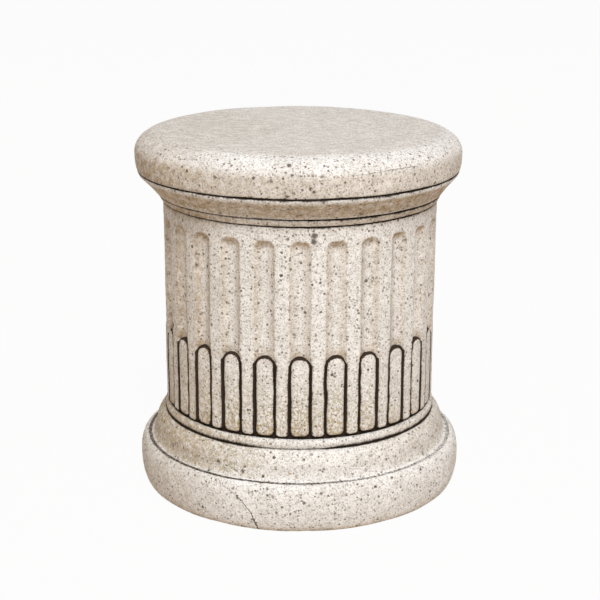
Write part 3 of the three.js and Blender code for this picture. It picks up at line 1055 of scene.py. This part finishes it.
class ColumnOperator(Operator):
    """Builds the casting as one closed surface and puts it in place of the plain solid."""

    bl_idname = "doric.column"
    bl_label = "Column"

    def execute(self, context):
        s, w = context.scene.column_sizes, context.scene.column_wear
        levels = Levels(s)
        fine = columns(s)
        coarse = fine[::3]
        zones = [
            (foot_rows(s, levels), coarse, False),
            (drum_rows(s, levels), fine, True),
            (crown_rows(s, levels), coarse, False),
        ]
        points, fields, quads, rings, first = [], [], [], [], 0
        for rows, turns, carved in zones:
            grid, cut = surface(rows, turns, s, w, levels, carved)
            marks = deposits_and_shade(rows, turns, grid, cut, s, w, levels)
            quads.append(grid_faces(first, len(rows), len(turns)))
            last = first + (len(rows) - 1) * len(turns)
            rings.append((np.arange(first, first + len(turns)), np.arange(last, last + len(turns))))
            points.append(grid.reshape(-1, 3))
            fields.append({name: values.ravel() for name, values in marks.items()})
            first += len(rows) * len(turns)
        under, top = first, first + 1
        ends = np.array([(0, 0, 0), (leaning(levels.cap_top, s, levels), 0, levels.cap_top)])
        ends[:, 2] -= settling(ends, s, levels)
        triangles = np.concatenate(
            [
                middle_faces(under, rings[0][0], False),
                seam_faces(rings[0][1], rings[1][0], True),
                seam_faces(rings[2][0], rings[1][1], False),
                middle_faces(top, rings[2][1], True),
            ]
        )
        all_fields = {
            name: np.concatenate([*(zone[name] for zone in fields), (0, float(name == "calm"))])
            for name in fields[0]
        }
        all_points = np.concatenate([*points, ends])
        piece = mesh_piece("cast_column", all_points, np.concatenate(quads), triangles, all_fields)
        if len(piece.data.polygons) == 0:
            raise RuntimeError("the column came out empty")
        piece.data.materials.append(cast_stone_material(context.scene.column_colours))
        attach(piece, "root")
        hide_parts("column")
        return {"FINISHED"}


def area_light(name, place, target, width, power):
    """A soft square light at a place, aimed at a target."""
    lamp = bpy.data.lights.new(name, "AREA")
    lamp.shape = "SQUARE"
    lamp.size = width
    lamp.energy = power
    light = bpy.data.objects.new(name, lamp)
    bpy.context.scene.collection.objects.link(light)
    way = np.array(target) - np.array(place)
    light.location = place
    downwards = math.atan2(math.hypot(way[0], way[1]), -way[2])
    light.rotation_euler = (downwards, 0, math.atan2(way[1], way[0]) - math.pi / 2)


def studio_sweep(settings):
    """Floor and backdrop in one sheet of paper: a disc that curves up into a wall all round, a profile of
    radius and height carried round the axis. It reflects no light onto the column and casts no shadow."""
    reach, rise = settings.floor_reach, settings.wall_height
    flat = straight((reach / 12, 0), (reach, 0), 11)
    curve = quarter_round((reach, 0), (reach + rise / 3, rise / 3), ELLIPSE, 8)
    rows = joined(flat, curve, straight(curve[-1], (curve[-1][0], rise), 1))
    around = 96
    turns = np.linspace(0, FULL_TURN, around, endpoint=False)[None, :]
    radius, height = rows[:, :1], np.broadcast_to(rows[:, 1:], (len(rows), around))
    grid = np.stack([radius * np.sin(turns), radius * np.cos(turns), height], axis=-1)
    points = np.concatenate([grid.reshape(-1, 3), [(0, 0, 0)]])
    triangles = middle_faces(len(points) - 1, np.arange(around), False)
    sweep = mesh_piece("studio_sweep", points, grid_faces(0, len(rows), around), triangles, {})
    sweep.visible_diffuse = False
    sweep.visible_shadow = False
    return sweep


def studio_world(settings):
    """Even light from all round: one colour from above the horizon and, in place of the light that the pale
    floor would send back, another from below it, with a soft change between them."""
    world = bpy.data.worlds.new("studio")
    world.use_nodes = True
    tree = world.node_tree
    tree.nodes.clear()
    way = add_node(tree, "TexCoord").outputs["Generated"]
    height = add_node(tree, "SeparateXYZ", {"Vector": way}).outputs["Z"]
    soft = 0.15
    inputs = {"Value": height, "From Min": -soft, "From Max": soft}
    above = add_node(tree, "MapRange", inputs).outputs["Result"]
    below = [channel * settings.floor_strength for channel in settings.floor_light]
    sky = [channel * settings.sky_strength for channel in settings.sky_light]
    inputs = {"Factor": above, 6: (*below, 1.0), 7: (*sky, 1.0)}
    light = add_node(tree, "Mix", inputs, data_type="RGBA").outputs[2]
    background = add_node(tree, "Background", {"Color": light, "Strength": 1.0})
    add_node(tree, "OutputWorld", {"Surface": background.outputs[0]})
    return world


def studio_camera(settings):
    """A camera in front of the column that looks down at it."""
    camera_data = bpy.data.cameras.new("camera")
    camera_data.lens = settings.lens
    camera_data.sensor_width = 36
    camera_data.shift_x = settings.shift_right
    camera_data.shift_y = settings.shift_up
    camera = bpy.data.objects.new("camera", camera_data)
    camera.location = (0, -settings.camera_back, settings.camera_height)
    camera.rotation_euler = (math.pi / 2 - settings.camera_tilt, 0, 0)
    bpy.context.scene.collection.objects.link(camera)
    return camera


class StudioOperator(Operator):
    """Makes the floor, the lights and the camera."""

    bl_idname = "doric.studio"
    bl_label = "Studio"

    def execute(self, context):
        settings = context.scene.studio
        sweep = studio_sweep(settings)
        sweep.data.materials.append(studio_paper_material(settings))

        context.scene.world = studio_world(settings)
        middle = (0, 0, CAD_HIGH.z / 2)
        area_light("key light", settings.key_place, middle, settings.key_width, settings.key_power)
        context.scene.camera = studio_camera(settings)
        context.scene.view_settings.view_transform = "Standard"
        return {"FINISHED"}


class ColumnPanel(Panel):
    """Sizes, wear, colours and the buttons that build the column and its studio."""

    bl_idname = "VIEW3D_PT_doric_column"
    bl_label = "Doric garden column"
    bl_space_type = "VIEW_3D"
    bl_region_type = "UI"
    bl_category = "Column"

    def draw(self, context):
        for place in GROUPS:
            group = getattr(context.scene, place)
            box = self.layout.box()
            for name in own_properties(group):
                box.prop(group, name)
        self.layout.operator(ColumnOperator.bl_idname)
        self.layout.operator(StudioOperator.bl_idname)


GROUPS = {
    "column_sizes": ColumnSizes,
    "column_wear": ColumnWear,
    "column_colours": ColumnColours,
    "studio": StudioSettings,
}
CLASSES = (*GROUPS.values(), ColumnOperator, StudioOperator, ColumnPanel)


def register():
    for cls in CLASSES:
        bpy.utils.register_class(cls)
    for name, group in GROUPS.items():
        setattr(bpy.types.Scene, name, PointerProperty(type=group))


def unregister():
    for name in GROUPS:
        delattr(bpy.types.Scene, name)
    for cls in reversed(CLASSES):
        bpy.utils.unregister_class(cls)


def main():
    """Builds everything in order."""
    register()
    bpy.ops.doric.column()
    bpy.ops.doric.studio()


if __name__ == "__main__":
    main()
